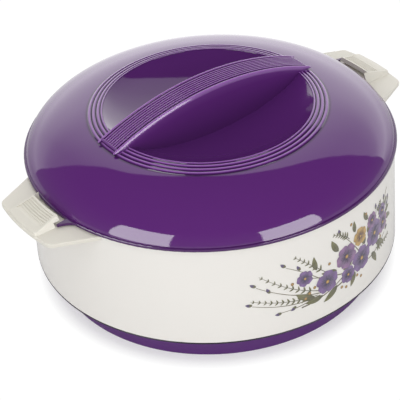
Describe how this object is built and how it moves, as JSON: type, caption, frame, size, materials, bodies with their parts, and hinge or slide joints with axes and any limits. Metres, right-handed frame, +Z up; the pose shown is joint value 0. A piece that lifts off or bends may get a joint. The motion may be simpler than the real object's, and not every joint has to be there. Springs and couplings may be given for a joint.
{
  "type": "insulated casserole",
  "caption": "Round foam-insulated serving casserole with a steel bowl, side handles and a domed lid that locks by turning its lugs under the handles' hoods.",
  "frame": {"origin": "centre of the foot's lower face, on the axis of the round body, on the surface that it stands on", "axes": "+Z up along the body's axis, +X and -X along the two side handles and the grip on the lid, -Y the front with the print"},
  "size_m": [0.2964, 0.2504, 0.1391],
  "materials": {
    "outer_casing": "gloss",
    "handle_right": "satin",
    "handle_left": "satin",
    "handle_screws": "satin",
    "top_collar": "gloss",
    "inner_bowl": "polished",
    "body_insulation": "matte",
    "base_cover": "gloss",
    "base_screws": "satin",
    "fill_plug": "satin",
    "lid_seal": "matte",
    "lid_cover": "gloss",
    "lid_grip": "gloss",
    "grip_screws": "satin",
    "lid_rim_ring": "gloss",
    "lid_liner": "polished",
    "lid_insulation": "matte"
  },
  "bodies": {
    "body": {"outer_casing": "outer_casing", "handle_right": "handle_right", "handle_left": "handle_left", "handle_screws": "handle_screws", "top_collar": "top_collar", "inner_bowl": "inner_bowl", "body_insulation": "body_insulation", "base_cover": "base_cover", "base_screws": "base_screws", "fill_plug": "fill_plug"},
    "seal": {"lid_seal": "lid_seal"},
    "lid": {"lid_cover": "lid_cover", "lid_grip": "lid_grip", "grip_screws": "grip_screws", "lid_rim_ring": "lid_rim_ring", "lid_liner": "lid_liner", "lid_insulation": "lid_insulation"}
  },
  "joints": [
    {"name": "lid_lift", "type": "slide", "parent": "body", "child": "seal", "axis": [0, 0, 1], "range_m": [0, 0.16]},
    {"name": "lid_twist", "type": "hinge", "parent": "seal", "child": "lid", "pos_m": [0, 0, 0.0955], "axis": [0, 0, 1], "range_deg": [-11.6, 155]}
  ]
}
